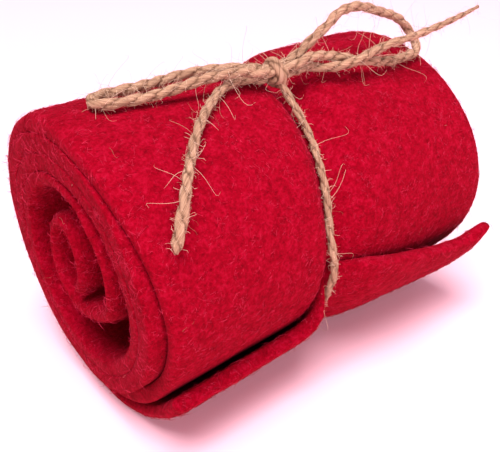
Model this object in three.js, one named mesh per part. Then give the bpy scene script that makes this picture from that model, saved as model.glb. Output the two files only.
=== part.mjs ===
// A roll of felt ribbon tied with a bow of jute twine, in millimetres, +Z up, the roll's axis along X.
//
// The roll is worked out about its axis: x along it, u towards the front and v up. An angle is measured
// from the top towards the front, and grows as the ribbon winds inwards from its loose outer end.
import * as THREE from 'three';

const RIBBON = { width: 100, thickness: 3.7, turnStep: 4.15 };
const STATION = 15;
const WOUND = { start: 187.5, leave: 1462.5 };
const AXIS_HEIGHT = 36.65;
const FLAP_STEPS = 7;
const TIE = { middle: 1.7, slant: 5.5, slantAngle: 46 };
const GROOVE = { reachLeft: 3.6, reachRight: 6.5, squeeze: 0.4, insideRadius: 24 };
const TWINE = { diameter: 2.4, plyDepth: 0.13, pitch: 12, sides: 8, stepsInPitch: 6 };

// The outer face's distance from the axis through one turn, from the front round under the roll, up the back
// and over the top to the front again. Each turn further in is one turn step smaller.
const TURN_SHAPE = [
  { angle: 90, radius: 39.9 },
  { angle: 105, radius: 38.9 },
  { angle: 118, radius: 37.95 },
  { angle: 130, radius: 37.5 },
  { angle: 180, radius: 37.2 },
  { angle: 270, radius: 36.9 },
  { angle: 360, radius: 36.3 },
  { angle: 420, radius: 36.15 },
  { angle: 450, radius: 35.75 },
];

// Where the ribbon's turns sit along the axis, in millimetres to the right of the inner turns.
const SHIFTS = [
  { angle: 90, shift: 4.4 },
  { angle: 187.5, shift: 3.2 },
  { angle: 270, shift: 2.0 },
  { angle: 360, shift: 1.2 },
  { angle: 400, shift: 2.4 },
  { angle: 440, shift: 4.2 },
  { angle: 480, shift: 4.0 },
  { angle: 570, shift: 1.4 },
  { angle: 660, shift: 0 },
];

// The loose outer end, across the ribbon: the angle where it is cut off, how far it stands off the roll there,
// and how suddenly it leaves the roll.
const LOOSE_END = [
  { x: -48, end: 118, lift: 1.5, curve: 1.5 },
  { x: -9, end: 117, lift: 1.2, curve: 1.5 },
  { x: -6.5, end: 112, lift: 0.9, curve: 1.5 },
  { x: -5, end: 105, lift: 0.6, curve: 1.5 },
  { x: -3.6, end: 97, lift: 0.35, curve: 1.5 },
  { x: -2, end: 92, lift: 0.2, curve: 1.5 },
  { x: 8, end: 92, lift: 0.4, curve: 1.3 },
  { x: 20, end: 97, lift: 1.2, curve: 1.0 },
  { x: 33, end: 102, lift: 2.4, curve: 0.75 },
  { x: 45, end: 105, lift: 3.3, curve: 0.65 },
  { x: 53, end: 102, lift: 3.6, curve: 0.65 },
];

// The loose inner turn and the folded inner end, along the middle of the felt's thickness.
const LOOSE_TURN = [
  { u: 14.0, v: 14.4 },
  { u: 16.3, v: 9.6 },
  { u: 16.9, v: 4.4 },
  { u: 16.0, v: -0.6 },
  { u: 12.6, v: -4.6 },
  { u: 8.2, v: -7.1 },
  { u: 3.0, v: -8.7 },
  { u: -2.4, v: -8.7 },
  { u: -6.6, v: -6.2 },
  { u: -8.7, v: -1.8 },
  { u: -8.8, v: 3.8 },
  { u: -7.2, v: 9.0 },
  { u: -3.4, v: 12.1 },
  { u: 0.7, v: 11.3 },
  { u: 3.0, v: 7.8 },
  { u: 3.5, v: 3.4 },
  { u: 2.9, v: -0.6 },
  { u: 1.2, v: -3.8 },
];
const LOOSE_TURN_STEPS = 28;

// Columns across the ribbon, as shares of the way from the twine to each cut edge.
const COLUMN_SHARES = [1, 0.72, 0.46, 0.25, 0.13, 0.065, 0.028];

// The twine's turn round the roll: its middle's distance from the axis, and how far the knot draws it aside.
const BAND = [
  { angle: 20.2, radius: 37.3, aside: -2.7 },
  { angle: 24, radius: 35.9, aside: -1.9 },
  { angle: 30, radius: 34.4, aside: -0.8 },
  { angle: 38, radius: 33.2, aside: 0 },
  { angle: 48, radius: 32.95, aside: 0 },
  { angle: 64, radius: 32.9, aside: 0 },
  { angle: 76, radius: 32.9, aside: 0 },
  { angle: 83, radius: 33.9, aside: 0 },
  { angle: 88, radius: 34.9, aside: 0 },
  { angle: 93, radius: 35.5, aside: 0 },
  { angle: 99, radius: 35.3, aside: 0 },
  { angle: 107, radius: 34.75, aside: 0 },
  { angle: 120, radius: 34.25, aside: 0 },
  { angle: 145, radius: 33.95, aside: 0 },
  { angle: 180, radius: 33.85, aside: 0 },
  { angle: 225, radius: 33.8, aside: 0 },
  { angle: 270, radius: 33.8, aside: 0 },
  { angle: 315, radius: 33.65, aside: 0 },
  { angle: 342, radius: 33.6, aside: 0 },
  { angle: 356, radius: 34.6, aside: -1.2 },
  { angle: 363, radius: 36.0, aside: -2.4 },
  { angle: 369, radius: 37.4, aside: -3.4 },
];
const KNOT = { x: 0.8, u: 9.9, v: 38.0 };
const KNOT_PROFILE = [
  { along: -2.2, radius: 2.1 },
  { along: -1.5, radius: 2.5 },
  { along: -0.9, radius: 3.1 },
  { along: 0, radius: 3.4 },
  { along: 0.9, radius: 3.1 },
  { along: 1.6, radius: 2.5 },
  { along: 8.0, radius: 2.2 },
];

// The bow's routes along the twine's middle, as x, u and v.
const LEFT_LOOP = [
  [-2.6, 10.8, 39.0], [-9.0, 9.2, 40.0], [-16.0, 7.4, 39.8], [-22.5, 6.0, 38.8], [-28.8, 4.8, 38.1],
  [-34.5, 4.0, 38.0], [-38.2, 2.6, 38.1], [-39.6, 0.4, 38.1], [-38.2, -1.8, 38.1], [-33.5, -1.9, 38.1],
  [-28.0, -1.4, 38.2], [-22.5, -1.5, 38.2], [-17.0, -1.6, 38.3], [-11.5, -0.2, 38.6], [-6.5, 3.6, 39.0],
  [-2.4, 7.2, 39.0],
];
const RIGHT_LOOP = [
  [10.2, 8.7, 41.0], [12.4, 8.9, 42.7], [17.6, 9.0, 45.4], [21.7, 9.0, 48.0], [28.2, 9.0, 48.3],
  [35.4, 9.0, 46.1], [43.1, 9.2, 43.2], [47.0, 10.0, 39.8], [48.0, 12.0, 36.9], [46.0, 14.2, 35.3],
  [41.5, 15.0, 35.1], [36.0, 15.3, 35.2], [31.4, 15.3, 35.8], [26.6, 15.1, 36.9], [22.8, 13.7, 37.6],
  [18.6, 12.5, 38.8], [14.4, 12.0, 39.8], [10.2, 11.7, 40.2],
];
const FRONT_END = [
  [-2.2, 8.8, 37.0], [-7.5, 7.2, 37.3], [-12.7, 8.4, 37.1], [-19.4, 12.4, 36.0], [-26.0, 17.4, 34.0],
  [-30.7, 21.7, 31.5], [-34.4, 25.3, 28.7], [-38.0, 29.0, 25.1], [-41.4, 31.8, 21.4], [-42.6, 32.9, 19.6],
];
const RIGHT_END = [
  [10.2, 10.5, 37.6], [14.4, 13.0, 37.2], [18.6, 15.1, 37.6], [22.8, 16.3, 38.6], [26.6, 16.3, 39.4],
  [31.0, 16.9, 40.3], [35.0, 18.0, 41.0], [38.5, 18.9, 41.6], [44.4, 20.0, 42.7], [54.4, 20.2, 44.0],
  [62.0, 20.0, 45.1],
];

const FELT = { color: 0xb3091f, roughness: 0.95, metalness: 0 };
const JUTE = { color: 0xd9b48f, roughness: 0.9, metalness: 0 };

// A value read from a table's column, eased between its rows.
function readTable(rows, key, column, at) {
  if (at <= rows[0][key]) return rows[0][column];
  for (let i = 1; i < rows.length; i += 1) {
    const low = rows[i - 1];
    const high = rows[i];
    if (at <= high[key]) {
      const share = (at - low[key]) / (high[key] - low[key]);
      return THREE.MathUtils.lerp(low[column], high[column], share);
    }
  }
  return rows[rows.length - 1][column];
}

function outerRadius(angle) {
  const turns = Math.floor((angle - TURN_SHAPE[0].angle) / 360);
  return readTable(TURN_SHAPE, 'angle', 'radius', angle - 360 * turns) - RIBBON.turnStep * turns;
}

function tieX(angle) {
  return TIE.middle + TIE.slant * Math.cos(THREE.MathUtils.degToRad(angle + TIE.slantAngle));
}

// A point of the roll in the part's axes.
function rollPoint(x, u, v) {
  return new THREE.Vector3(x, -u, AXIS_HEIGHT + v);
}

// The twine pulls the felt in: the outer turns the most, the inner turns not at all.
function cinch(x, u, v) {
  const radius = Math.hypot(u, v);
  const angle = THREE.MathUtils.radToDeg(Math.atan2(u, v));
  const beside = x - tieX(angle);
  const away = beside / (beside < 0 ? GROOVE.reachLeft : GROOVE.reachRight);
  const pull = GROOVE.squeeze * Math.max(0, radius - GROOVE.insideRadius) * Math.exp(-away * away);
  const scale = (radius - pull) / radius;
  return rollPoint(x, u * scale, v * scale);
}

// The ribbon's stations: a wound row has an angle, and a loose row has a middle and a direction outwards.
function ribbonRows() {
  const rows = [];
  for (let step = FLAP_STEPS; step > 0; step -= 1) {
    rows.push({ flapShare: step / FLAP_STEPS });
  }
  for (let angle = WOUND.start; angle <= WOUND.leave; angle += STATION) {
    rows.push({ angle });
  }
  const leave = THREE.MathUtils.degToRad(WOUND.leave);
  const middle = outerRadius(WOUND.leave) - RIBBON.thickness / 2;
  const points = [
    new THREE.Vector3(middle * Math.sin(leave), middle * Math.cos(leave), 0),
    ...LOOSE_TURN.map((row) => new THREE.Vector3(row.u, row.v, 0)),
  ];
  const line = new THREE.CatmullRomCurve3(points, false, 'centripetal');
  for (let step = 1; step <= LOOSE_TURN_STEPS; step += 1) {
    const at = line.getPointAt(step / LOOSE_TURN_STEPS);
    const along = line.getTangentAt(step / LOOSE_TURN_STEPS);
    rows.push({ u: at.x, v: at.y, outU: -along.y, outV: along.x });
  }
  return rows;
}

function columnX(column, angle) {
  const shift = readTable(SHIFTS, 'angle', 'shift', angle);
  const twine = tieX(angle);
  const count = COLUMN_SHARES.length;
  if (column === count) return twine;
  const side = column < count ? -1 : 1;
  const share = COLUMN_SHARES[column < count ? column : 2 * count - column];
  const edge = side * RIBBON.width / 2 + shift;
  return twine + (edge - twine) * share;
}

// One point of the ribbon's outer or inner face.
function ribbonPoint(row, column, outside) {
  const depth = outside ? 0 : RIBBON.thickness;
  if (row.u !== undefined) {
    const x = columnX(column, WOUND.leave);
    const off = RIBBON.thickness / 2 - depth;
    return cinch(x, row.u + row.outU * off, row.v + row.outV * off);
  }
  let angle = row.angle;
  let lift = 0;
  if (row.flapShare !== undefined) {
    const roughX = columnX(column, 120);
    const end = readTable(LOOSE_END, 'x', 'end', roughX);
    angle = THREE.MathUtils.lerp(WOUND.start, end, row.flapShare);
    const curve = readTable(LOOSE_END, 'x', 'curve', roughX);
    lift = readTable(LOOSE_END, 'x', 'lift', roughX) * row.flapShare ** curve;
  }
  const x = columnX(column, angle);
  const radius = outerRadius(angle) - depth + lift;
  const turn = THREE.MathUtils.degToRad(angle);
  return cinch(x, radius * Math.sin(turn), radius * Math.cos(turn));
}

// The strip is a thin box with its points moved to the rolled-up shape.
function makeRibbon() {
  const rows = ribbonRows();
  const lengthSteps = rows.length - 1;
  const widthSteps = 2 * COLUMN_SHARES.length;
  const strip = new THREE.BoxGeometry(1, 1, 1, lengthSteps, widthSteps, 1);
  const points = strip.attributes.position;
  for (let i = 0; i < points.count; i += 1) {
    const row = rows[Math.round((points.getX(i) + 0.5) * lengthSteps)];
    const column = Math.round((points.getY(i) + 0.5) * widthSteps);
    const at = ribbonPoint(row, column, points.getZ(i) > 0);
    points.setXYZ(i, at.x, at.y, Math.max(0, at.z));
  }
  return strip;
}

// A closed round solid along a curve, from a radius worked out at each step and angle.
function makeRound(curve, steps, sides, radiusAt) {
  const solid = new THREE.CylinderGeometry(1, 1, 1, sides, steps);
  const frames = curve.computeFrenetFrames(steps, false);
  const points = solid.attributes.position;
  for (let i = 0; i < points.count; i += 1) {
    const step = Math.round((points.getY(i) + 0.5) * steps);
    const across = Math.hypot(points.getX(i), points.getZ(i)) > 0.5 ? 1 : 0;
    const turn = Math.atan2(points.getZ(i), points.getX(i));
    const radius = across * radiusAt(step, turn);
    const at = curve.getPointAt(step / steps);
    at.addScaledVector(frames.normals[step], radius * Math.cos(turn));
    at.addScaledVector(frames.binormals[step], -radius * Math.sin(turn));
    points.setXYZ(i, at.x, at.y, at.z);
  }
  return solid;
}

// A length of twine, its two plies raised as they twist round each other.
function makeTwine(route) {
  const curve = new THREE.CatmullRomCurve3(route, false, 'centripetal');
  curve.arcLengthDivisions = 600;
  const length = curve.getLength();
  const steps = Math.round(length * TWINE.stepsInPitch / TWINE.pitch);
  const swell = TWINE.diameter / 2;
  return makeRound(curve, steps, TWINE.sides, (step, turn) => {
    const ply = 2 * Math.PI * step / TWINE.stepsInPitch;
    return swell * (1 - TWINE.plyDepth + TWINE.plyDepth * Math.cos(2 * turn - ply));
  });
}

function bowTwine(route) {
  return makeTwine(route.map(([x, u, v]) => rollPoint(x, u, v)));
}

function bandTwine() {
  return makeTwine(BAND.map(({ angle, radius, aside }) => {
    const turn = THREE.MathUtils.degToRad(angle);
    return rollPoint(tieX(angle) + aside, radius * Math.sin(turn), radius * Math.cos(turn));
  }));
}

// The knot: the bundle of strands with the wrap that draws it together.
function makeKnot() {
  const first = KNOT_PROFILE[0].along;
  const last = KNOT_PROFILE[KNOT_PROFILE.length - 1].along;
  const steps = 17;
  const curve = new THREE.LineCurve3(
    rollPoint(KNOT.x + first, KNOT.u, KNOT.v),
    rollPoint(KNOT.x + last, KNOT.u, KNOT.v),
  );
  return makeRound(curve, steps, 12, (step, turn) => {
    const along = THREE.MathUtils.lerp(first, last, step / steps);
    const radius = readTable(KNOT_PROFILE, 'along', 'radius', along);
    return radius * (1 + 0.07 * Math.cos(3 * turn + 0.5 * along));
  });
}

function named(name, geometry, finish) {
  const mesh = new THREE.Mesh(geometry, new THREE.MeshStandardMaterial(finish));
  mesh.name = name;
  return mesh;
}

const roll = [
  named('felt_ribbon', makeRibbon(), FELT),
  named('twine_band', bandTwine(), JUTE),
  named('twine_knot', makeKnot(), JUTE),
];
const bow = [
  named('bow_loop_left', bowTwine(LEFT_LOOP), JUTE),
  named('bow_loop_right', bowTwine(RIGHT_LOOP), JUTE),
  named('twine_end_front', bowTwine(FRONT_END), JUTE),
  named('twine_end_right', bowTwine(RIGHT_END), JUTE),
];

// The origin is under the middle of the tied roll, the bow's loops and ends left out.
const box = new THREE.Box3();
roll.forEach((mesh) => box.expandByObject(mesh));
const middle = box.getCenter(new THREE.Vector3());
const part = new THREE.Group();
[...roll, ...bow].forEach((mesh) => {
  mesh.geometry.translate(-middle.x, -middle.y, -box.min.z);
  part.add(mesh);
});

export default part;
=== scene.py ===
"""A roll of felt ribbon tied with a bow of jute twine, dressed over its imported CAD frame.

The roll is worked out about its axis, in millimetres: x along it, u towards the front and v up from the axis.
An angle is measured from the top towards the front, and grows as the ribbon winds inwards from its loose end.
"""
import logging
import math
from dataclasses import dataclass, field
from enum import Enum
from typing import Sequence

import bpy
import numpy as np
from bpy.types import ID, Material, Node, NodeTree, Object
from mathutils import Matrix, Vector, noise


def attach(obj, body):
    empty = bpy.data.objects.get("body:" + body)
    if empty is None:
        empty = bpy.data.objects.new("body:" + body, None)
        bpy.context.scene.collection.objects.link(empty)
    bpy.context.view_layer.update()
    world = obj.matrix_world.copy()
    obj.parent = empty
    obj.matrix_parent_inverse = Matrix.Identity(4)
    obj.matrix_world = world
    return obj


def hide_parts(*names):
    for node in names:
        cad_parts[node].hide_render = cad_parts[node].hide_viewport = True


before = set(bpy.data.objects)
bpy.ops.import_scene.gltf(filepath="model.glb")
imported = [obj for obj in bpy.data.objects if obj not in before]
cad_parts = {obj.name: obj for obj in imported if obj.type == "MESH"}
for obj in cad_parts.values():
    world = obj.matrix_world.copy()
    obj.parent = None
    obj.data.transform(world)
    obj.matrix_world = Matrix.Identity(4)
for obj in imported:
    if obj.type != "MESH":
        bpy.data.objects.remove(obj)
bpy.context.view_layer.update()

LOG = logging.getLogger("felt_ribbon")
BODY = "root"
MM = 0.001

Array = np.ndarray
Point = tuple[float, float, float]
Route = tuple[Point, ...]
Row = tuple[float, ...]
Table = tuple[Row, ...]
Colour = tuple[float, float, float, float]
# A socket's name or number, and a node with the socket that is read.
Key = str | int
Source = tuple[Node, Key]

# Where a table is read, as shares of its spread, to round its corners off.
SOFTENING = (-1.0, -0.5, 0.0, 0.5, 1.0)
# Short straight pieces in each stretch of a curve.
CURVE_PIECES = 24

# The roll's axis above the table, and the middle of the tied roll, which stands over the part's origin.
AXIS_HEIGHT = 36.65
MIDDLE_X = 2.126
MIDDLE_Y = -2.579

# The outer face's distance from the axis through one turn: angle, radius.
TURN_SHAPE: Table = (
    (90, 39.9), (105, 38.9), (118, 37.95), (130, 37.5), (180, 37.2), (270, 36.9),
    (360, 36.3), (420, 36.15), (450, 35.75),
)
# Where the turns sit along the axis: angle, millimetres to the right of the inner turns.
SHIFTS: Table = (
    (90, 4.4), (187.5, 3.2), (270, 2.0), (330, 0.6), (370, 0.2), (400, 1.2), (425, 3.2), (445, 4.0),
    (480, 4.0), (570, 1.4), (660, 0),
)
# The loose outer end across the ribbon: x, angle where it is cut off, how far it stands off the roll there,
# and how suddenly it leaves the roll.
LOOSE_END: Table = (
    (-48, 118, 1.5, 1.5), (-12, 116, 1.2, 1.5), (-8.5, 112, 1.0, 1.5), (-6, 106, 0.7, 1.5),
    (-4, 99, 0.4, 1.5), (-2, 93, 0.2, 1.5), (8, 92, 0.4, 1.3), (20, 97, 1.2, 1.0),
    (33, 102, 2.4, 0.75), (45, 105, 3.3, 0.65), (53, 102, 3.6, 0.65),
)
# The loose inner turn and the folded inner end, along the middle of the felt: u, v.
LOOSE_TURN: Table = (
    (14.0, 14.4), (16.3, 9.6), (16.9, 4.4), (16.0, -0.6), (12.6, -4.6), (8.2, -7.1), (3.0, -8.7),
    (-2.4, -8.7), (-6.6, -6.2), (-8.7, -1.8), (-8.8, 3.8), (-7.2, 9.0), (-3.4, 12.1), (0.7, 11.3),
    (3.0, 7.8), (3.5, 3.4), (2.9, -0.6), (1.2, -3.8),
)
# The twine's turn round the roll: angle, its middle's distance from the axis, and how far the knot draws
# it aside.
BAND: Table = (
    (20.2, 37.3, -2.7), (24, 35.9, -1.9), (30, 34.4, -0.8), (38, 33.2, 0), (48, 32.95, 0), (64, 32.9, 0),
    (76, 32.9, 0), (83, 33.9, 0), (88, 34.9, 0), (93, 35.5, 0), (99, 35.3, 0), (107, 34.75, 0),
    (120, 34.25, 0), (145, 33.95, 0), (180, 33.85, 0), (225, 33.8, 0), (270, 33.8, 0), (315, 33.65, 0),
    (342, 33.6, 0), (356, 34.6, -1.2), (363, 36.0, -2.4), (369, 37.4, -3.4),
)
# Where that turn leaves the knot and comes back into it, the middle of the knot, and the bow's routes along
# the middle of the twine: x, u, v.
BAND_OUT: Point = (0.9, 11.0, 37.6)
BAND_BACK: Point = (0.9, 8.4, 37.6)
KNOT: Point = (0.8, 9.9, 38.0)
LEFT_LOOP: Route = (
    (-2.6, 10.8, 39.0), (-9.0, 9.2, 40.0), (-16.0, 7.4, 39.8), (-22.5, 6.0, 38.8), (-28.8, 4.8, 38.1),
    (-34.5, 3.7, 38.0), (-37.6, 3.0, 38.1), (-39.5, 0.8, 38.1), (-38.7, -1.5, 38.1), (-36.2, -2.4, 38.1),
    (-32.5, -2.1, 38.1), (-28.0, -1.5, 38.2), (-22.5, -1.5, 38.2), (-17.0, -1.6, 38.3), (-11.5, -0.2, 38.6),
    (-6.5, 3.6, 39.0), (-2.4, 7.2, 39.0),
)
RIGHT_LOOP: Route = (
    (10.2, 8.7, 41.0), (12.4, 8.9, 42.7), (17.6, 9.0, 45.4), (21.7, 9.0, 48.0), (28.2, 9.0, 48.3),
    (35.4, 9.0, 46.1), (43.1, 9.2, 43.2), (47.0, 10.0, 39.8), (48.0, 12.0, 36.9), (46.0, 14.2, 35.3),
    (41.5, 15.0, 35.1), (36.0, 15.3, 35.2), (31.4, 15.3, 35.8), (26.6, 15.1, 36.9), (22.8, 13.7, 37.6),
    (18.6, 12.5, 38.8), (14.4, 12.0, 39.8), (10.2, 11.7, 40.2),
)
FRONT_END: Route = (
    (-2.2, 8.8, 37.0), (-7.5, 7.2, 37.3), (-12.7, 8.4, 37.1), (-19.4, 12.4, 36.0), (-26.0, 17.4, 34.0),
    (-30.7, 21.7, 31.5), (-34.4, 25.3, 28.7), (-38.0, 29.0, 25.1), (-41.4, 31.8, 21.4), (-42.6, 32.9, 19.6),
)
RIGHT_END: Route = (
    (10.2, 10.5, 37.6), (14.4, 13.0, 37.2), (18.6, 15.1, 37.6), (22.8, 16.3, 38.6), (26.6, 16.3, 39.4),
    (31.0, 16.9, 40.3), (35.0, 18.0, 41.0), (38.5, 18.9, 41.6), (44.4, 20.0, 42.7), (54.4, 20.2, 44.0),
    (62.0, 20.0, 45.1),
)


class Slot(Enum):
    """The record's material slots."""

    FELT = "felt"
    TWINE = "twine"


class FarEnd(Enum):
    """Where a length of twine goes at its far end."""

    BARE = "bare"
    INTO_KNOT = "object"


def to_part(points: Array) -> Array:
    """Turn roll points, as x, u and v in millimetres, into the part's frame, as x, y and z in metres."""
    x, u, v = np.moveaxis(points, -1, 0)
    return np.stack((x - MIDDLE_X, -u - MIDDLE_Y, v + AXIS_HEIGHT), axis=-1) * MM


def read_table(rows: Sequence[Row], column: int, at: Array, spread: float = 0.0) -> Array:
    """Read a column of a table, straight between its rows and softened at them.

    Args:
        rows: The table, in rising order of its first column.
        column: The column to read.
        at: Where to read it.
        spread: How far to each side the corners are rounded off.

    Returns:
        The values.
    """
    keys = [row[0] for row in rows]
    values = [row[column] for row in rows]
    return sum(np.interp(at + step * spread, keys, values) for step in SOFTENING) / len(SOFTENING)


def walk(line: Array) -> Array:
    """Give the way along a path from its start to each of its points."""
    return np.concatenate(([0], np.cumsum(np.linalg.norm(np.diff(line, axis=0), axis=1))))


def directions(line: Array) -> Array:
    """Give a path's direction at each of its points."""
    along = np.gradient(line, axis=0)
    return along / np.linalg.norm(along, axis=1, keepdims=True)


def spline(points: Array, step: float) -> Array:
    """Run a centripetal Catmull-Rom curve through points and walk along it evenly.

    Args:
        points: The points that it passes through.
        step: The distance from one point of the walk to the next.

    Returns:
        The points of the walk, with both ends.
    """
    ends = np.vstack((2 * points[0] - points[1], points, 2 * points[-1] - points[-2]))
    dense = [points[:1]]
    for i in range(1, len(points)):
        chords = np.diff(ends[i - 1:i + 3], axis=0)
        before, along, after = chords
        first, second, third = np.sqrt(np.linalg.norm(chords, axis=1))
        leave = second * (before / first - (before + along) / (first + second) + along / second)
        arrive = second * (along / second - (along + after) / (second + third) + after / third)
        t = np.linspace(0, 1, CURVE_PIECES + 1)[1:, None]
        bend = (3 * along - 2 * leave - arrive) * t**2 + (leave + arrive - 2 * along) * t**3
        dense.append(ends[i] + leave * t + bend)
    line = np.vstack(dense)
    walked = walk(line)
    count = max(2, round(walked[-1] / step) + 1)
    at = np.linspace(0, walked[-1], count)
    return np.stack([np.interp(at, walked, line[:, axis]) for axis in range(line.shape[1])], axis=1)


def tube_faces(rings: int, sides: int) -> list[Sequence[int]]:
    """Give the faces of an open tube whose points are numbered ring by ring."""
    index = np.arange(rings * sides).reshape(rings, sides)
    turn = np.roll(index, -1, axis=1)
    return np.stack((index[:-1], turn[:-1], turn[1:], index[1:]), axis=-1).reshape(-1, 4).tolist()


def put(name: str, data: ID) -> Object:
    """Make an object of a mesh, a lamp or a camera, in the scene."""
    made = bpy.data.objects.new(name, data)
    bpy.context.scene.collection.objects.link(made)
    return made


@dataclass(frozen=True)
class Unevenness:
    """Smooth noise: how much it adds or takes away, the width of its lumps, and which noise it is."""

    amount: float
    size: float
    seed: float

    def at(self, points: Array) -> Array:
        """Read the noise at points with three numbers each."""
        flat = points.reshape(-1, 3) / self.size + self.seed
        values = np.array([noise.noise(Vector(point)) for point in flat])
        return self.amount * values.reshape(points.shape[:-1])


@dataclass
class MeshData:
    """Points, faces and point attributes of a mesh in the making, in metres."""

    points: list[Array] = field(default_factory=list)
    faces: list[tuple[int, ...]] = field(default_factory=list)
    values: dict[str, list[Array]] = field(default_factory=dict)
    count: int = 0

    def add(self, points: Array, faces: Sequence[Sequence[int]], **values: Array) -> None:
        """Add a body.

        Args:
            points: Its points.
            faces: Its faces, numbered from its own first point.
            values: Its point attributes, each a number or a vector for each point.
        """
        self.points.append(points)
        self.faces.extend(tuple(int(i) + self.count for i in face) for face in faces)
        for name, value in values.items():
            self.values.setdefault(name, []).append(value)
        self.count += len(points)

    def make(self, name: str, material: Material | None = None) -> Object:
        """Make the mesh object.

        Args:
            name: Its name.
            material: Its material, where it has one.

        Returns:
            The object, in the scene.
        """
        mesh = bpy.data.meshes.new(name)
        mesh.from_pydata(np.vstack(self.points).tolist(), [], self.faces)
        for key, parts in self.values.items():
            value = np.concatenate(parts)
            kind = "FLOAT" if value.ndim == 1 else "FLOAT_VECTOR"
            layer = mesh.attributes.new(key, kind, "POINT")
            layer.data.foreach_set("value" if value.ndim == 1 else "vector", value.astype(float).ravel())
        mesh.polygons.foreach_set("use_smooth", [True] * len(mesh.polygons))
        mesh.update()
        if material:
            mesh.materials.append(material)
        return put(name, mesh)


def fill(node: Node, values: dict[Key, object]) -> None:
    """Set a node's inputs."""
    for key, value in values.items():
        node.inputs[key].default_value = value


@dataclass
class NodeCanvas:
    """A node tree with short ways to add and join its nodes."""

    tree: NodeTree

    def node(self, kind: str, values: dict[Key, object] | None = None, **settings: object) -> Node:
        """Add a node.

        Args:
            kind: The node's type.
            values: What its inputs are set to.
            settings: Its properties.

        Returns:
            The node.
        """
        made = self.tree.nodes.new(kind)
        for key, value in settings.items():
            setattr(made, key, value)
        fill(made, values or {})
        return made

    def join(self, source: Node, output: Key, target: Node, entry: Key) -> None:
        """Join an output of one node to an input of another."""
        self.tree.links.new(source.outputs[output], target.inputs[entry])

    def socket(self, name: str, kind: str, way: str = "INPUT") -> str:
        """Add a named socket to the tree's interface and give its identifier."""
        kind = f"NodeSocket{kind}"
        return self.tree.interface.new_socket(name=name, in_out=way, socket_type=kind).identifier


def fibre_grain_group() -> NodeTree:
    """Give the shader group for matted fibres that the felt and the twine share, built when first asked for.

    Returns:
        A group from a vector, two scales and the coarse one's share to a mask and a height, both from 0 to 1.
    """
    name = "fibre_grain"
    if name in bpy.data.node_groups:
        return bpy.data.node_groups[name]
    tree = bpy.data.node_groups.new(name, "ShaderNodeTree")
    canvas = NodeCanvas(tree)
    canvas.socket("Vector", "Vector")
    for size in ("Fine", "Coarse", "Coarse Share"):
        canvas.socket(size, "Float")
    for result in ("Mask", "Height"):
        canvas.socket(result, "Float", "OUTPUT")
    start = canvas.node("NodeGroupInput")
    stop = canvas.node("NodeGroupOutput")
    fine = canvas.node("ShaderNodeTexNoise", {"Detail": 3.0, "Roughness": 0.6})
    coarse = canvas.node("ShaderNodeTexNoise", {"Detail": 2.0})
    blend = canvas.node("ShaderNodeMix", data_type="FLOAT")
    for scale, grain, entry in (("Fine", fine, 2), ("Coarse", coarse, 3)):
        canvas.join(start, "Vector", grain, "Vector")
        canvas.join(start, scale, grain, "Scale")
        canvas.join(grain, 0, blend, entry)
    canvas.join(start, "Coarse Share", blend, 0)
    canvas.join(blend, 0, stop, "Mask")
    canvas.join(fine, 0, stop, "Height")
    return tree


@dataclass(frozen=True, kw_only=True)
class FibreFinish:
    """The look of loose fibres, each with a tone of its own."""

    name: str
    dark: Colour
    middle: Colour
    light: Colour
    roughness: float
    sheen: float = 0.0
    sheen_tint: Colour = (1, 1, 1, 1)
    sheen_roughness: float = 0.45
    specular: float = 0.04
    dark_at: float = 0.3
    middle_at: float = 0.5
    light_at: float = 0.72

    def material(self) -> Material:
        """Make the material.

        Returns:
            The material.
        """
        made = bpy.data.materials.new(self.name)
        made.use_nodes = True
        canvas = NodeCanvas(made.node_tree)
        shader = made.node_tree.nodes["Principled BSDF"]
        fill(shader, {
            "Roughness": self.roughness, "Specular IOR Level": self.specular, "Sheen Weight": self.sheen,
            "Sheen Roughness": self.sheen_roughness, "Sheen Tint": self.sheen_tint,
        })
        ramp = canvas.node("ShaderNodeValToRGB")
        dark, light = ramp.color_ramp.elements
        dark.position = self.dark_at
        dark.color = self.dark
        light.position = self.light_at
        light.color = self.light
        ramp.color_ramp.elements.new(self.middle_at).color = self.middle
        tone, normal = self.grain(canvas)
        canvas.join(*tone, ramp, "Fac")
        canvas.join(ramp, "Color", shader, "Base Color")
        if normal:
            canvas.join(*normal, shader, "Normal")
        return made

    def grain(self, canvas: NodeCanvas) -> tuple[Source, Source | None]:
        """Give the tone that each fibre was scattered with, and no relief."""
        return (canvas.node("ShaderNodeAttribute", attribute_name="tone"), "Fac"), None


@dataclass(frozen=True, kw_only=True)
class MattedFinish(FibreFinish):
    """The look of fibres that are matted or spun together.

    Its grain lies on Object coordinates, or on the attribute that place names. The attribute that shade names
    darkens it with painted shade.
    """

    fine: float
    coarse: float
    coarse_share: float
    bump: float
    bump_depth: float
    place: str = ""
    shade: str = ""

    def grain(self, canvas: NodeCanvas) -> tuple[Source, Source | None]:
        """Add the fibre grain.

        Args:
            canvas: The material's nodes.

        Returns:
            The tone from 0 to 1, darkened by painted shade where a shade attribute is named, and the normal
            over the fibres.
        """
        scales = {"Fine": self.fine, "Coarse": self.coarse, "Coarse Share": self.coarse_share}
        group = canvas.node("ShaderNodeGroup", scales, node_tree=fibre_grain_group())
        if self.place:
            place = canvas.node("ShaderNodeAttribute", attribute_name=self.place)
            canvas.join(place, "Vector", group, "Vector")
        else:
            canvas.join(canvas.node("ShaderNodeTexCoord"), "Object", group, "Vector")
        bump = canvas.node("ShaderNodeBump", {"Strength": self.bump, "Distance": self.bump_depth})
        canvas.join(group, "Height", bump, "Height")
        tone = (group, "Mask")
        # Painted shade: the shade attribute darkens the tone.
        if self.shade:
            shade = canvas.node("ShaderNodeAttribute", attribute_name=self.shade)
            darker = canvas.node("ShaderNodeMath", operation="MULTIPLY")
            canvas.join(*tone, darker, 0)
            canvas.join(shade, "Fac", darker, 1)
            tone = (darker, 0)
        return tone, (bump, "Normal")


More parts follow.
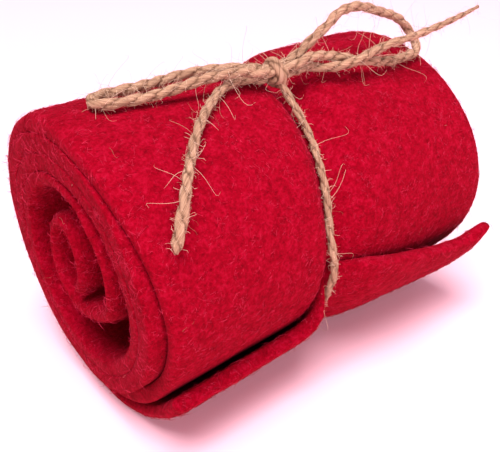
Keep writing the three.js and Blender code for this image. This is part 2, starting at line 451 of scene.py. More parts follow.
FELT = MattedFinish(
    name="red_felt", dark=(0.14, 0.0001, 0.004, 1), middle=(0.245, 0.0002, 0.0085, 1),
    light=(0.36, 0.003, 0.023, 1), fine=1350, coarse=420, coarse_share=0.35, bump=0.8, bump_depth=0.0005,
    roughness=1.0, sheen=0.02, sheen_tint=(1.0, 0.25, 0.5, 1),
)
FELT_FIBRE = FibreFinish(
    name="red_felt_fibre", dark=(0.20, 0.0002, 0.006, 1), middle=(0.29, 0.0010, 0.013, 1),
    light=(0.47, 0.020, 0.055, 1), roughness=0.9,
)
# The jute's grain, darkened by the painted shade between the plies that the shade attribute carries.
JUTE = MattedFinish(
    name="jute", dark=(0.17, 0.082, 0.050, 1), middle=(0.45, 0.250, 0.160, 1), light=(0.68, 0.42, 0.300, 1),
    fine=2.6, coarse=0.9, coarse_share=0.45, bump=0.9, bump_depth=0.0005, roughness=0.85, sheen=0.03,
    sheen_tint=(1, 0.9, 0.8, 1), place="strand", shade="shade",
)
JUTE_FIBRE = FibreFinish(
    name="jute_fibre", dark=(0.30, 0.16, 0.105, 1), middle=(0.55, 0.33, 0.23, 1),
    light=(0.74, 0.50, 0.38, 1), roughness=0.7,
)


@dataclass
class RollShape:
    """The wound form: where the felt's turns and the twine's groove lie, in millimetres and degrees.

    The groove's reach is a table: angle, reach to the left of the twine and to the right.
    """

    turn_step: float = 4.15
    corner: float = 5.0
    tie_middle: float = 1.7
    tie_slant: float = 5.5
    tie_angle: float = 46.0
    groove_reach: Table = (
        (0, 3.6, 6.5), (60, 3.2, 6.5), (85, 2.1, 7.5), (125, 2.1, 11.0), (170, 3.6, 6.5), (360, 3.6, 6.5),
    )
    groove_squeeze: float = 0.40
    groove_inside: float = 24.0

    def outer_radius(self, angle: Array) -> Array:
        """Give the outer face's distance from the axis, its table's corners rounded off."""
        total = np.zeros_like(angle, dtype=float)
        for step in SOFTENING:
            at = angle + step * self.corner
            turns = np.floor((at - TURN_SHAPE[0][0]) / 360)
            total += read_table(TURN_SHAPE, 1, at - 360 * turns) - self.turn_step * turns
        return total / len(SOFTENING)

    def tie_x(self, angle: Array) -> Array:
        """Give the twine's place along the axis."""
        return self.tie_middle + self.tie_slant * np.cos(np.radians(angle + self.tie_angle))

    def cinch(self, points: Array) -> Array:
        """Draw points in under the twine, the outer turns the most.

        Args:
            points: Points as x, u and v.

        Returns:
            The points after the twine has been drawn tight.
        """
        x, u, v = points[..., 0], points[..., 1], points[..., 2]
        radius = np.hypot(u, v)
        angle = np.degrees(np.arctan2(u, v)) % 360
        beside = x - self.tie_x(angle)
        left, right = (read_table(self.groove_reach, column, angle) for column in (1, 2))
        away = beside / np.where(beside < 0, left, right)
        pull = self.groove_squeeze * np.maximum(0, radius - self.groove_inside) * np.exp(-away * away)
        scale = (radius - pull) / radius
        return np.stack((x, u * scale, v * scale), axis=-1)


@dataclass
class FeltRibbon:
    """The strip of felt, wound up with a loose outer end, the flap, and a folded inner end.

    The edge tables run in from a cut edge and give the share of the thickness: soft where the felt is cut,
    round where it stands free, and fused where a turn is pressed to the next. The tables by angle run along
    the winding, and say how bare or fused each face is and how far its cut edges bulge.
    """

    shape: RollShape
    width: float = 100.0
    thickness: float = 3.9
    wound_start: float = 187.5
    wound_leave: float = 1462.5
    wound_step: float = 5.0
    loose_step: float = 1.25
    column_step: float = 1.55
    flap_lines: int = 24
    flap_angle: float = 105.0
    flap_radius: float = 38.0
    flap_shift: float = 120.0
    end_corners: Row = (0.8, 2.0, 4.0)
    shift_corner: float = 6.0
    inner_end_rows: int = 4
    soft_edge: Table = ((0.0, 0.64), (0.3, 0.80), (0.8, 0.94), (1.7, 1.0))
    round_edge: Table = ((0.0, 0.40), (0.3, 0.55), (0.8, 0.70), (1.7, 0.86), (3.3, 0.96), (5.0, 1.0))
    fused_edge: Table = ((0.0, 1.05), (0.3, 1.08), (8.0, 1.08), (16.0, 1.0))
    bare_outside: Table = ((420, 1.0), (500, 0.0), (1430, 0.0), (1462, 1.0))
    bare_inside: Table = ((1080, 0.0), (1130, 1.0))
    fused_outside: Table = ((440, 0.0), (500, 1.0), (1400, 1.0), (1450, 0.0))
    fused_inside: Table = (
        (200, 0.0), (260, 1.0), (385, 1.0), (425, 0.3), (480, 0.3), (520, 1.0), (1080, 1.0), (1115, 0.0),
    )
    edge_push: Table = (
        (300, 1.0), (340, 0.5), (390, 0.6), (430, 1.0), (470, 1.0), (520, 0.2), (1380, 0.2), (1440, 1.0),
    )
    edge_bulge: Table = ((0.2, 0.36), (0.5, 0.55), (0.8, 0.36))
    edge_inset: float = 0.55
    edge_wander: Unevenness = Unevenness(0.22, 80 / 7, 5.5)
    lumps: tuple[Unevenness, ...] = (Unevenness(0.16, 9.0, 3.1), Unevenness(0.096, 3.5, 8.7))
    lumpy_rows: int = 60
    row_spacing: float = 3.0
    fuzzy_turn: float = 285.0
    fuzzy_edge: float = 2.6
    under_rows: int = 6
    under_fuzz: float = 0.7
    core_turn: float = 360.0
    core_start: float = 18.0
    core_fade: float = 25.0
    core_fuzz: float = 0.8
    floor_gap: float = 2.5

    def columns(self) -> Array:
        """Give the columns' distances from the left cut edge, closer at both cut edges."""
        edge = np.array([row[0] for row in self.soft_edge])
        inner = np.linspace(edge[-1], self.width - edge[-1], round(self.width / self.column_step))[1:-1]
        return np.concatenate((edge, inner, self.width - edge[::-1]))

    def flap_shares(self) -> Array:
        """Give the flap's rows as shares of the way to its cut edge, closer there."""
        length = math.radians(self.wound_start - self.flap_angle) * self.flap_radius
        edge = 1 - np.array([row[0] for row in self.soft_edge]) / length
        return np.concatenate((edge, np.linspace(edge[-1], 0, self.flap_lines + 2)[1:-1]))

    def angles(self) -> Array:
        """Give the wound rows' angles."""
        return np.arange(self.wound_start, self.wound_leave + self.wound_step / 2, self.wound_step)

    def winding(self, loose_rows: int) -> Array:
        """Give every row's angle for the tables, held along the flap and along the loose turn."""
        return np.pad(self.angles(), (len(self.flap_shares()), loose_rows), mode="edge")

    def wound(self, depth: Array) -> Array:
        """Place the flap's rows and the wound rows.

        Args:
            depth: The distance under the outer face, by row and column.

        Returns:
            Points as x, u and v, by row and column.
        """
        shares = self.flap_shares()[:, None]
        angles = self.angles()
        across = self.columns()[None, :]
        flap_x = across - self.width / 2 + read_table(SHIFTS, 1, np.array(self.flap_shift))
        end, lift, curve = (
            read_table(LOOSE_END, column, flap_x, corner) for column, corner in enumerate(self.end_corners, 1)
        )
        flap_angle = self.wound_start + (end - self.wound_start) * shares
        flap_lift = lift * shares ** curve
        angle = np.vstack((flap_angle, np.repeat(angles[:, None], across.shape[1], axis=1)))
        stand = np.vstack((flap_lift, np.zeros((len(angles), across.shape[1]))))
        radius = self.shape.outer_radius(angle) - depth + stand
        x = across - self.width / 2 + read_table(SHIFTS, 1, angle, self.shift_corner)
        turn = np.radians(angle)
        return np.stack((x, radius * np.sin(turn), radius * np.cos(turn)), axis=-1)

    def loose_line(self) -> tuple[Array, Array]:
        """Walk along the loose inner turn.

        Returns:
            The middle of the felt, and the direction towards its outer face, as u and v.
        """
        leave = math.radians(self.wound_leave)
        middle = float(self.shape.outer_radius(np.array(self.wound_leave))) - self.thickness / 2
        first = (middle * math.sin(leave), middle * math.cos(leave))
        line = spline(np.array([first, *LOOSE_TURN]), self.loose_step)
        along = directions(line)
        return line[1:], np.stack((-along[1:, 1], along[1:, 0]), axis=1)

    def trims(self, winding: Array) -> list[Array]:
        """Work out how far each face draws in towards the cut edges and the cut ends.

        Args:
            winding: Every row's angle.

        Returns:
            The outer face's and the inner face's, by row and column.
        """
        columns = self.columns()[None, :]
        from_edge = np.minimum(columns, self.width - columns)
        soft, rounded, fused = (
            read_table(table, 1, from_edge) for table in (self.soft_edge, self.round_edge, self.fused_edge)
        )
        edge = [row[0] for row in self.soft_edge]
        from_end = np.full((len(winding), 1), edge[-1])
        from_end[:len(edge), 0] = edge
        from_end[-self.inner_end_rows:, 0] = np.arange(self.inner_end_rows)[::-1] * self.loose_step
        at_end = (1 - read_table(self.soft_edge, 1, from_end)) * self.thickness / 2
        at = winding[:, None]
        trims = []
        for bare, joined in ((self.bare_outside, self.fused_outside), (self.bare_inside, self.fused_inside)):
            share = soft + (rounded - soft) * read_table(bare, 1, at)
            share = share + (fused - share) * read_table(joined, 1, at)
            trim = (1 - share) * self.thickness / 2
            trims.append(np.where(at_end > 0, np.maximum(trim, at_end), trim))
        return trims

    def build(self, material: Material) -> Object:
        """Build the strip as one closed mesh with soft cut edges.

        Args:
            material: The felt.

        Returns:
            The strip, with a point attribute that says where its fuzz shows.
        """
        line, out = self.loose_line()
        winding = self.winding(len(line))
        wound_rows = len(winding) - len(line)
        outer_trim, inner_trim = self.trims(winding)
        sides = []
        for depth in (outer_trim, self.thickness - inner_trim):
            off = (self.thickness / 2 - depth[wound_rows:])[..., None]
            loose = line[:, None, :] + out[:, None, :] * off
            x = np.broadcast_to(self.columns()[None, :, None] - self.width / 2, loose.shape[:2] + (1,))
            sides.append(np.vstack((self.wound(depth[:wound_rows]), np.concatenate((x, loose), axis=-1))))
        return self.close(sides[0], sides[1], winding, material)

    def close(self, outer: Array, inner: Array, winding: Array, material: Material) -> Object:
        """Join the two faces round the cut edges, roughen them and cinch them.

        Args:
            outer: The outer face's points, by row and column.
            inner: The inner face's points.
            winding: Every row's angle.
            material: The felt.

        Returns:
            The closed strip.
        """
        rows, count = outer.shape[:2]
        along = np.arange(rows) * self.row_spacing
        spot = np.stack(np.broadcast_arrays(along[:, None], self.columns()[None, :], 0.0), axis=-1)
        lumps = sum(lump.at(spot) for lump in self.lumps)
        lumps[len(self.flap_shares()) + self.lumpy_rows:] = 0.0
        out = outer - inner
        out /= np.linalg.norm(out, axis=-1, keepdims=True)
        outer = outer + out * lumps[..., None]
        wander = self.edge_wander.at(np.stack((along, 0 * along, 0 * along), axis=-1))
        outer[..., 0] += wander[:, None]
        inner[..., 0] += wander[:, None]
        push = read_table(self.edge_push, 1, winding)
        edges = []
        for side, start, stop in ((1, outer[:, -1], inner[:, -1]), (-1, inner[:, 0], outer[:, 0])):
            bulge = []
            for share, reach in self.edge_bulge:
                point = start + (stop - start) * share
                point[:, 0] += side * reach * push
                bulge.append(point)
            edges.append(np.stack(bulge, axis=1))
        loop = np.concatenate((outer, edges[0], inner[:, ::-1], edges[1]), axis=1)
        loop[..., 0] *= 1 - self.edge_inset / (self.width / 2)
        points = self.shape.cinch(loop)
        points[..., 2] = np.maximum(points[..., 2], -AXIS_HEIGHT)
        size = points.shape[1]
        first = np.arange(size)
        faces = tube_faces(rows, size)
        faces.extend(face[::-1] for face in self.cap(first, count))
        faces.extend(self.cap(first + (rows - 1) * size, count))
        data = MeshData()
        data.add(to_part(points).reshape(-1, 3), faces, fuzz=self.fuzz(points, count))
        return data.make("felt_roll", material)

    def cap(self, loop: Array, count: int) -> list[list[int]]:
        """Close one end of the strip.

        Args:
            loop: The end row's points round the section.
            count: The columns across it.

        Returns:
            The faces.
        """
        bulge = len(self.edge_bulge)
        outer, right, back, left = np.split(loop, (count, count + bulge, 2 * count + bulge))
        inner = back[::-1]
        faces = [[outer[i], outer[i + 1], inner[i + 1], inner[i]] for i in range(count - 1)]
        return [*faces, [outer[-1], *right, inner[-1]], [inner[0], *left, outer[0]]]

    def fuzz(self, points: Array, count: int) -> Array:
        """Say where the fuzz shows: outside, under the flap's end, on the cut edges and into the core.

        Args:
            points: The points, by row and place round the section.
            count: The columns across each face.

        Returns:
            A value from 0 to 1 for each point.
        """
        flap_rows = len(self.flap_shares())
        bulge = len(self.edge_bulge)
        from_middle = np.abs(points[..., 0])
        shown = np.zeros(points.shape[:2])
        shown[:flap_rows + int(self.fuzzy_turn / self.wound_step), :count] = 1.0
        shown[:self.under_rows, count + bulge:2 * count + bulge] = self.under_fuzz
        shown[from_middle > self.width / 2 - self.fuzzy_edge] = 1.0
        core = flap_rows + len(self.angles()) - int(self.core_turn / self.wound_step)
        depth = np.clip((from_middle[core:] - self.core_start) / self.core_fade, 0, 1)
        shown[core:] = np.maximum(shown[core:], depth * self.core_fuzz)
        shown[points[..., 2] < self.floor_gap - AXIS_HEIGHT] = 0.0
        return shown.reshape(-1)


@dataclass
class Twine:
    """Two-ply jute twine, in millimetres.

    Its table of painted shade darkens it between the plies, where the grooves are shaded: distance from its
    middle, lightness. The grain's scales spread the fibres' pattern round a strand and along it, and its
    steps keep the plies and the lengths apart.
    """

    diameter: float = 2.4
    pitch: float = 8.8
    plies: int = 2
    ply_radius: float = 0.92
    ply_off: float = 0.28
    ply_roll: float = 0.7
    sides: int = 12
    step: float = 0.5
    aside: Point = (0.31, 0.17, 0.93)
    phase_step: float = 9.0
    twist_wander: Unevenness = Unevenness(0.14, 9.0, 2.3)
    girth_wander: Unevenness = Unevenness(0.10, 4.5, 6.1)
    swells: tuple[Unevenness, ...] = (Unevenness(0.10, 0.45, 1.7), Unevenness(0.07, 1.6, 9.2))
    # Painted shade between the plies: distance from the twine's middle, lightness.
    ply_gap_shade: Table = ((0.80, 0.48), (1.02, 1.0))
    # Noise that breaks up the painted shade between the plies.
    ply_gap_shade_wander: Unevenness = Unevenness(0.30, 0.7, 4.4)
    grain_round: float = 2.2
    grain_along: float = 0.16
    grain_ply_step: float = 31.0
    grain_phase_step: float = 7.3
    floor_gap: float = 9.0

    def frames(self, line: Array) -> tuple[Array, Array]:
        """Carry a pair of cross directions along a path without twisting them.

        Args:
            line: The path's points.

        Returns:
            The two cross directions at each point.
        """
        along = directions(line)
        start = np.cross(along[0], self.aside)
        normals = [start / np.linalg.norm(start)]
        for direction in along[1:]:
            turned = normals[-1] - direction * np.dot(normals[-1], direction)
            normals.append(turned / np.linalg.norm(turned))
        across = np.array(normals)
        return across, np.cross(along, across)

    def spin(self, data: MeshData, line: Array, phase: float, girth: Sequence[Row]) -> None:
        """Add the plies along a path.

        Args:
            data: The mesh in the making.
            line: The path in the roll's axes, evenly walked.
            phase: Where the twist starts, in turns.
            girth: The share of the full thickness, by share of the way along the path.
        """
        across, up = self.frames(line)
        walked = walk(line)
        along = np.stack((walked, 0 * walked + self.phase_step * phase, 0 * walked), axis=1)
        thin = read_table(girth, 1, walked / walked[-1]) * (1 + self.girth_wander.at(along))
        twist = 2 * np.pi * (walked / self.pitch + phase + self.twist_wander.at(along))
        ring = np.linspace(0, 2 * np.pi, self.sides, endpoint=False)
        for ply in range(self.plies):
            turn = twist + 2 * np.pi * ply / self.plies
            off = (self.ply_off * thin)[:, None]
            middle = line + off * (np.cos(turn)[:, None] * across + np.sin(turn)[:, None] * up)
            place = self.grain_along * walked + self.grain_ply_step * ply + self.grain_phase_step * phase
            cos, sin = self.grain_round * np.cos(ring), self.grain_round * np.sin(ring)
            grain = np.stack(np.broadcast_arrays(cos, sin, place[:, None]), axis=-1)
            swell = 1 + sum(uneven.at(grain) for uneven in self.swells)
            radius = (self.ply_radius * swell * thin[:, None])[..., None]
            roll = (ring[None, :] - turn[:, None] * self.ply_roll)[..., None]
            aside = np.cos(roll) * across[:, None, :] + np.sin(roll) * up[:, None, :]
            points = middle[:, None, :] + radius * aside
            # Painted shade: darker where a point lies close to the twine's middle, between the plies.
            far = np.linalg.norm(points - line[:, None, :], axis=-1) / thin[:, None]
            shade = read_table(self.ply_gap_shade, 1, far + self.ply_gap_shade_wander.at(grain))
            self.skin(data, points, grain, shade, middle)

    def skin(self, data: MeshData, rings: Array, grain: Array, shade: Array, middle: Array) -> None:
        """Add a closed tube through rings of points.

        Args:
            data: The mesh in the making.
            rings: The points, by ring and place round it.
            grain: The place along and round the strand at each point.
            shade: How light each point is: painted shade, dark between the plies.
            middle: The middle of each ring.
        """
        count, sides = rings.shape[:2]
        tip = count * sides
        last = tip - sides
        pairs = [(i, (i + 1) % sides) for i in range(sides)]
        faces = tube_faces(count, sides)
        faces.extend((tip, after, i) for i, after in pairs)
        faces.extend((tip + 1, last + i, last + after) for i, after in pairs)
        points = np.vstack((rings.reshape(-1, 3), middle[:1], middle[-1:]))
        strand = np.vstack((grain.reshape(-1, 3), grain[0, :1], grain[-1, :1]))
        # The painted shade between the plies, for each point and for the two tips.
        light = np.concatenate((shade.ravel(), shade[0, :1], shade[-1, :1]))
        clear = (points[:, 2] > self.floor_gap - AXIS_HEIGHT).astype(float)
        data.add(to_part(points), faces, strand=strand, shade=light, fuzz=clear)


def dress(piece: Object, slot: Slot, *nodes: str) -> Object:
    """Tie a piece to its body and hide the CAD nodes that it stands for.

    Args:
        piece: The piece.
        slot: Its material slot; not used.
        nodes: The CAD nodes.

    Returns:
        The piece.
    """
    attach(piece, BODY)
    if nodes:
        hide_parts(*nodes)
    LOG.info("%s: %d faces", piece.name, len(piece.data.polygons))
    return piece


@dataclass
class FibreCoat:
    """Loose fibres scattered over a surface by Geometry Nodes and turned into a plain mesh."""

    name: str
    density: float
    smallest: float
    largest: float
    lean: float
    seed: int

    def tree(self) -> tuple[NodeTree, dict[str, str]]:
        """Build the tree.

        Returns:
            The tree, and the identifier of each of its inputs.
        """
        tree = bpy.data.node_groups.new(self.name, "GeometryNodeTree")
        canvas = NodeCanvas(tree)
        kinds = {
            "Geometry": "Geometry", "Density": "Float", "Smallest": "Float", "Largest": "Float",
            "Lean": "Float", "Seed": "Int", "Fibre": "Object", "Finish": "Material",
        }
        sockets = {name: canvas.socket(name, kind) for name, kind in kinds.items()}
        canvas.socket("Geometry", "Geometry", "OUTPUT")
        start = canvas.node("NodeGroupInput")
        stop = canvas.node("NodeGroupOutput")
        shown = canvas.node("GeometryNodeInputNamedAttribute", {"Name": "fuzz"}, data_type="FLOAT")
        density = canvas.node("ShaderNodeMath", operation="MULTIPLY")
        scatter = canvas.node("GeometryNodeDistributePointsOnFaces", distribute_method="RANDOM")
        size = canvas.node("FunctionNodeRandomValue", data_type="FLOAT")
        shape = canvas.node("GeometryNodeObjectInfo")
        place = canvas.node("GeometryNodeInstanceOnPoints")
        back = canvas.node("ShaderNodeMath", {1: -1.0}, operation="MULTIPLY")
        low = canvas.node("ShaderNodeCombineXYZ", {"Z": -math.pi})
        high = canvas.node("ShaderNodeCombineXYZ", {"Z": math.pi})
        spin = canvas.node("FunctionNodeRandomValue", data_type="FLOAT_VECTOR")
        turn = canvas.node("GeometryNodeRotateInstances")
        tone = canvas.node("FunctionNodeRandomValue", data_type="FLOAT")
        keep = canvas.node(
            "GeometryNodeStoreNamedAttribute", {"Name": "tone"}, data_type="FLOAT", domain="INSTANCE"
        )
        real = canvas.node("GeometryNodeRealizeInstances")
        paint = canvas.node("GeometryNodeSetMaterial")
        links = (
            (start, "Geometry", scatter, "Mesh"), (start, "Density", density, 0), (shown, 0, density, 1),
            (density, 0, scatter, "Density"), (start, "Smallest", size, 2), (start, "Largest", size, 3),
            (start, "Fibre", shape, "Object"), (scatter, "Points", place, "Points"),
            (scatter, "Rotation", place, "Rotation"), (shape, "Geometry", place, "Instance"),
            (size, 1, place, "Scale"), (start, "Lean", back, 0), (start, "Lean", high, "X"),
            (start, "Lean", high, "Y"), (back, 0, low, "X"), (back, 0, low, "Y"), (low, 0, spin, 0),
            (high, 0, spin, 1), (place, "Instances", turn, "Instances"), (spin, 0, turn, "Rotation"),
            (turn, "Instances", keep, "Geometry"), (tone, 1, keep, "Value"),
            (keep, "Geometry", real, "Geometry"), (real, "Geometry", paint, "Geometry"),
            (start, "Finish", paint, "Material"), (paint, "Geometry", stop, "Geometry"),
        )
        for link in links:
            canvas.join(*link)
        for node in (scatter, size, spin, tone):
            canvas.join(start, "Seed", node, "Seed")
        return tree, sockets

    def grow(self, surface: Object, fibre: Object, material: Material, slot: Slot) -> Object:
        """Scatter a fibre over a surface, dress the fibres and clear the pattern fibre away.

        Args:
            surface: The object to scatter it on, whose mesh has the fuzz attribute.
            fibre: The pattern fibre.
            material: The fibres' material.
            slot: Their material slot.

        Returns:
            A plain mesh of all the fibres.
        """
        host = put(f"{self.name}_host", surface.data)
        tree, sockets = self.tree()
        nodes = host.modifiers.new("scatter", "NODES")
        nodes.node_group = tree
        settings = {
            "Density": self.density, "Smallest": self.smallest, "Largest": self.largest, "Lean": self.lean,
            "Seed": self.seed, "Fibre": fibre, "Finish": material,
        }
        for name, value in settings.items():
            nodes[sockets[name]] = value
        graph = bpy.context.evaluated_depsgraph_get()
        mesh = bpy.data.meshes.new_from_object(host.evaluated_get(graph))
        mesh.name = self.name
        host.modifiers.remove(nodes)
        bpy.data.objects.remove(host)
        bpy.data.objects.remove(fibre)
        return dress(put(self.name, mesh), slot)


@dataclass
class FeltTuft:
    """A small tuft of short flat felt fibres that lie over a surface and rise at their tips, in millimetres.

    Length, rise and bend are drawn between two limits, the last two as shares of the length. The taper is a
    fibre's width at each of its points.
    """

    seed: int
    count: int = 8
    length: tuple[float, float] = (0.7, 1.6)
    rise: tuple[float, float] = (0.1, 0.5)
    bend: tuple[float, float] = (-0.5, 0.5)
    spread: float = 0.8
    sunk: float = 0.08
    half_width: float = 0.028
    taper: Row = (1, 0.9, 0.35)

    def build(self) -> Object:
        """Build the tuft.

        Returns:
            The tuft.
        """
        draw = np.random.default_rng(self.seed)
        rows = len(self.taper)
        share = np.linspace(0, 1, rows)
        data = MeshData()
        for _ in range(self.count):
            length = draw.uniform(*self.length)
            rise = draw.uniform(*self.rise) * length
            bend = draw.uniform(*self.bend) * length
            heading = draw.uniform(0, 2 * np.pi)
            start = draw.uniform(-self.spread, self.spread, 2)
            lie = draw.uniform(0, np.pi)
            cos, sin = math.cos(heading), math.sin(heading)
            ahead = length * share
            aside = bend * share**2
            middle = np.stack(
                (ahead * cos - aside * sin + start[0], ahead * sin + aside * cos + start[1],
                 rise * share**1.5 - self.sunk), axis=1
            )
            side = np.array((-sin * math.cos(lie), cos * math.cos(lie), math.sin(lie)))
            half = side * self.half_width * np.array(self.taper)[:, None]
            points = np.vstack((middle - half, middle + half)) * MM
            data.add(points, [(i, i + 1, i + 1 + rows, i + rows) for i in range(rows - 1)])
        return data.make("felt_tuft")


@dataclass
class JuteHair:
    """One stray jute fibre, a thin bent tube, in millimetres.

    Its curl and its rise are shares of its length, and follow waves of so many radians along it.
    """

    length: float
    radius: float
    curl: float
    rise: float
    rings: int
    sides: int = 3
    foreshortening: float = 0.25
    curl_wave: float = 2.6
    rise_wave: float = 2.2
    sunk: float = 0.15
    tip: float = 0.4

    def build(self) -> Object:
        """Build the fibre.

        Returns:
            The fibre.
        """
        share = np.linspace(0, 1, self.rings)[:, None]
        ring = np.linspace(0, 2 * np.pi, self.sides, endpoint=False)[None, :]
        radius = self.radius * np.linspace(1, self.tip, self.rings)[:, None]
        ahead = self.length * (share - self.foreshortening * share**3)
        aside = self.length * self.curl * np.sin(share * self.curl_wave) * share
        up = self.length * self.rise * np.sin(share * self.rise_wave) - self.sunk
        points = np.stack(
            np.broadcast_arrays(ahead, aside + radius * np.cos(ring), up + radius * np.sin(ring)), axis=-1
        )
        first = list(range(self.sides))
        last = [i + (self.rings - 1) * self.sides for i in first]
        data = MeshData()
        data.add(points.reshape(-1, 3) * MM, [*tube_faces(self.rings, self.sides), first[::-1], last])
        return data.make("jute_hair")


@dataclass
class BowLength:
    """One free length of the bow, a loop or an end, with its ways into the knot."""

    name: str
    node: str
    route: Route
    into_knot: Route
    far_end: FarEnd
    phase: float
    back_into_knot: Route = ()
    girth: Table = ((0, 1),)

    def line(self, step: float) -> Array:
        """Walk along its middle, from inside the knot."""
        return spline(np.array([*self.into_knot, *self.route, *self.back_into_knot]), step)


@dataclass
class Bow:
    """The twine: its turn round the roll, the knot, two loops and two free ends.

    The knot's wrap is a coil of so many degrees that tucks in at both ends.
    """

    shape: RollShape
    twine: Twine
    band_phase: float = 0.2
    band_girth: float = 0.78
    wrap_phase: float = 0.4
    wrap_girth: float = 0.95
    wrap_radius: float = 2.55
    wrap_start: float = -70.0
    wrap_stop: float = 430.0
    wrap_turn: float = 20.0
    wrap_length: float = 2.0
    wrap_step: float = 0.35
    tuck_share: float = 0.12
    tuck_radius: float = 0.45

    def lengths(self) -> list[BowLength]:
        """Give the loops and the ends."""
        return [
            BowLength(
                "jute_loop_left", "bow_loop_left", LEFT_LOOP, ((2.4, 10.6, 38.6), (0.2, 10.9, 38.9)),
                FarEnd.INTO_KNOT, phase=0.1, back_into_knot=((0.0, 8.9, 38.9), (2.2, 9.2, 38.6)),
            ),
            BowLength(
                "jute_loop_right", "bow_loop_right", RIGHT_LOOP, ((-0.4, 9.3, 38.8), (4.4, 9.0, 39.2)),
                FarEnd.INTO_KNOT, phase=0.35, back_into_knot=((5.4, 11.2, 39.0), (-0.2, 10.4, 38.5)),
            ),
            BowLength(
                "jute_end_front", "twine_end_front", FRONT_END, ((2.4, 9.7, 37.3), (0.2, 9.3, 37.1)),
                FarEnd.BARE, phase=0.6,
                girth=((0, 1), (0.35, 0.86), (0.75, 0.92), (0.92, 1.15), (0.975, 0.95), (1, 0.35)),
            ),
            BowLength(
                "jute_end_right", "twine_end_right", RIGHT_END, ((-0.4, 9.8, 37.4), (4.6, 10.0, 37.2)),
                FarEnd.BARE, phase=0.85, girth=((0, 1), (0.5, 0.95), (0.85, 0.62), (1, 0.36)),
            ),
        ]

    def band_line(self) -> Array:
        """Walk along the turn round the roll, from the knot and back into it."""
        angle, radius, drawn = np.array(BAND).T
        turn = np.radians(angle)
        x = self.shape.tie_x(angle) + drawn
        ring = np.stack((x, radius * np.sin(turn), radius * np.cos(turn)), axis=1)
        return spline(np.vstack((BAND_OUT, ring, BAND_BACK)), self.twine.step)

    def wrap_line(self) -> Array:
        """Walk along the strand that wraps the knot and tucks in at both ends."""
        turn = np.radians(np.arange(self.wrap_start, self.wrap_stop + 1, self.wrap_turn))
        share = np.linspace(0, 1, len(turn))
        out = np.clip(np.minimum(share, 1 - share) / self.tuck_share, 0, 1)
        radius = self.wrap_radius * (self.tuck_radius + (1 - self.tuck_radius) * out)
        x = KNOT[0] + self.wrap_length * (share - 0.5)
        points = np.stack((x, KNOT[1] + radius * np.cos(turn), KNOT[2] + radius * np.sin(turn)), axis=1)
        return spline(points, self.wrap_step)

    def build(self, material: Material) -> Object:
        """Build and dress the pieces.

        Args:
            material: The jute.

        Returns:
            A bare surface for the twine's fuzz, of all the pieces but the knot.
        """
        surface = MeshData()
        for length in self.lengths():
            line = length.line(self.twine.step)
            data = MeshData()
            for mesh in (data, surface):
                self.twine.spin(mesh, line, length.phase, length.girth)
            piece = dress(data.make(length.name, material), Slot.TWINE, length.node)
        band = MeshData()
        for mesh in (band, surface):
            self.twine.spin(mesh, self.band_line(), self.band_phase, ((0, self.band_girth),))
        dress(band.make("jute_band", material), Slot.TWINE, "twine_band")
        wrap = MeshData()
        self.twine.spin(wrap, self.wrap_line(), self.wrap_phase, ((0, self.wrap_girth),))
        dress(wrap.make("jute_knot", material), Slot.TWINE, "twine_knot")
        return surface.make("twine_surface")


@dataclass(frozen=True)
class Lamp:
    """A soft square lamp: where it stands, its side in metres, its power in watts and its colour."""

    name: str
    place: Point
    size: float
    power: float
    tint: Point

    def build(self, target: Point) -> None:
        """Put the lamp on the stage, turned to a target."""
        light = bpy.data.lights.new(self.name, "AREA")
        light.size = self.size
        light.energy = self.power
        light.color = self.tint
        made = put(self.name, light)
        made.location = self.place
        made.rotation_mode = "QUATERNION"
        made.rotation_quaternion = (Vector(target) - made.location).to_track_quat("-Z", "Y")


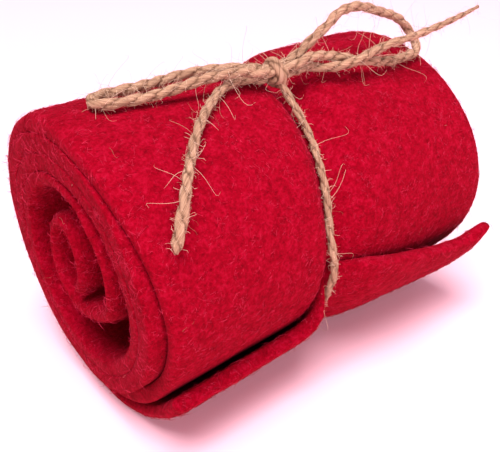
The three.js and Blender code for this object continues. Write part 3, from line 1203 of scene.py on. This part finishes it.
@dataclass
class Studio:
    """The floor, the light and the camera, in metres."""

    position: Point = (-0.09782, -0.11562, 0.12415)
    forward: Point = (0.5409, 0.6552, -0.5274)
    lens: float = 47.81
    sensor: float = 36.0
    nearest: float = 0.01
    target: Point = (0, 0, 0.035)
    lamps: tuple[Lamp, ...] = (
        Lamp("key", (-0.42, -0.30, 1.95), 1.2, 73.0, (1, 0.99, 0.98)),
        Lamp("front", (-0.14, -0.72, 0.30), 0.5, 3.7, (1, 0.97, 0.98)),
    )
    sky: Colour = (1, 0.72, 0.86, 1)
    sky_strength: float = 0.38
    floor: Colour = (0.97, 0.58, 0.69, 1)
    floor_roughness: float = 0.8
    floor_specular: float = 0.1
    floor_reach: float = 3.0

    def camera(self) -> None:
        """Set the camera up where the photo was taken from."""
        camera = bpy.data.cameras.new("camera")
        camera.sensor_width = self.sensor
        camera.lens = self.lens
        camera.clip_start = self.nearest
        made = put("camera", camera)
        made.location = self.position
        made.rotation_mode = "QUATERNION"
        made.rotation_quaternion = Vector(self.forward).to_track_quat("-Z", "Y")
        bpy.context.scene.camera = made

    def build(self) -> None:
        """Set up the floor, the lamps and the surroundings."""
        data = MeshData()
        corners = np.array(((-1, -1, 0), (1, -1, 0), (1, 1, 0), (-1, 1, 0))) * self.floor_reach
        data.add(corners, [(0, 1, 2, 3)])
        paper = bpy.data.materials.new("paper")
        paper.use_nodes = True
        fill(paper.node_tree.nodes["Principled BSDF"], {
            "Base Color": self.floor, "Roughness": self.floor_roughness,
            "Specular IOR Level": self.floor_specular,
        })
        data.make("floor", paper)
        for lamp in self.lamps:
            lamp.build(self.target)
        world = bpy.data.worlds.new("studio")
        world.use_nodes = True
        fill(world.node_tree.nodes["Background"], {"Color": self.sky, "Strength": self.sky_strength})
        bpy.context.scene.world = world
        bpy.context.scene.view_settings.view_transform = "Standard"


def main() -> None:
    """Build the scene, piece by piece."""
    logging.basicConfig(level=logging.INFO, format="%(name)s: %(message)s")
    studio = Studio()
    studio.camera()
    shape = RollShape()
    jute_fibre = JUTE_FIBRE.material()
    felt_fibre = FELT_FIBRE.material()

    surface = Bow(shape, Twine()).build(JUTE.material())
    short = JuteHair(length=2.4, radius=0.040, curl=0.25, rise=0.34, rings=4)
    long = JuteHair(length=7.5, radius=0.036, curl=0.5, rise=0.34, rings=9)
    fuzz = FibreCoat("jute_fuzz", density=1.0e6, smallest=0.4, largest=1.4, lean=0.5, seed=4)
    strays = FibreCoat("jute_strays", density=6.0e4, smallest=0.5, largest=1.6, lean=0.5, seed=7)
    fuzz.grow(surface, short.build(), jute_fibre, Slot.TWINE)
    strays.grow(surface, long.build(), jute_fibre, Slot.TWINE)
    bpy.data.objects.remove(surface)

    roll = dress(FeltRibbon(shape).build(FELT.material()), Slot.FELT, "felt_ribbon")
    for number, tuft_seed, seed in ((1, 11, 20), (2, 12, 21), (3, 13, 22)):
        name = f"felt_fuzz_{number}"
        coat = FibreCoat(name, density=1.3e5, smallest=0.7, largest=1.3, lean=0.25, seed=seed)
        coat.grow(roll, FeltTuft(tuft_seed).build(), felt_fibre, Slot.FELT)
    flat = JuteHair(length=6.0, radius=0.045, curl=0.4, rise=0.06, rings=8)
    litter = FibreCoat("felt_litter", density=700, smallest=0.4, largest=1.1, lean=0.1, seed=9)
    litter.grow(roll, flat.build(), jute_fibre, Slot.FELT)

    studio.build()


if __name__ == "__main__":
    main()
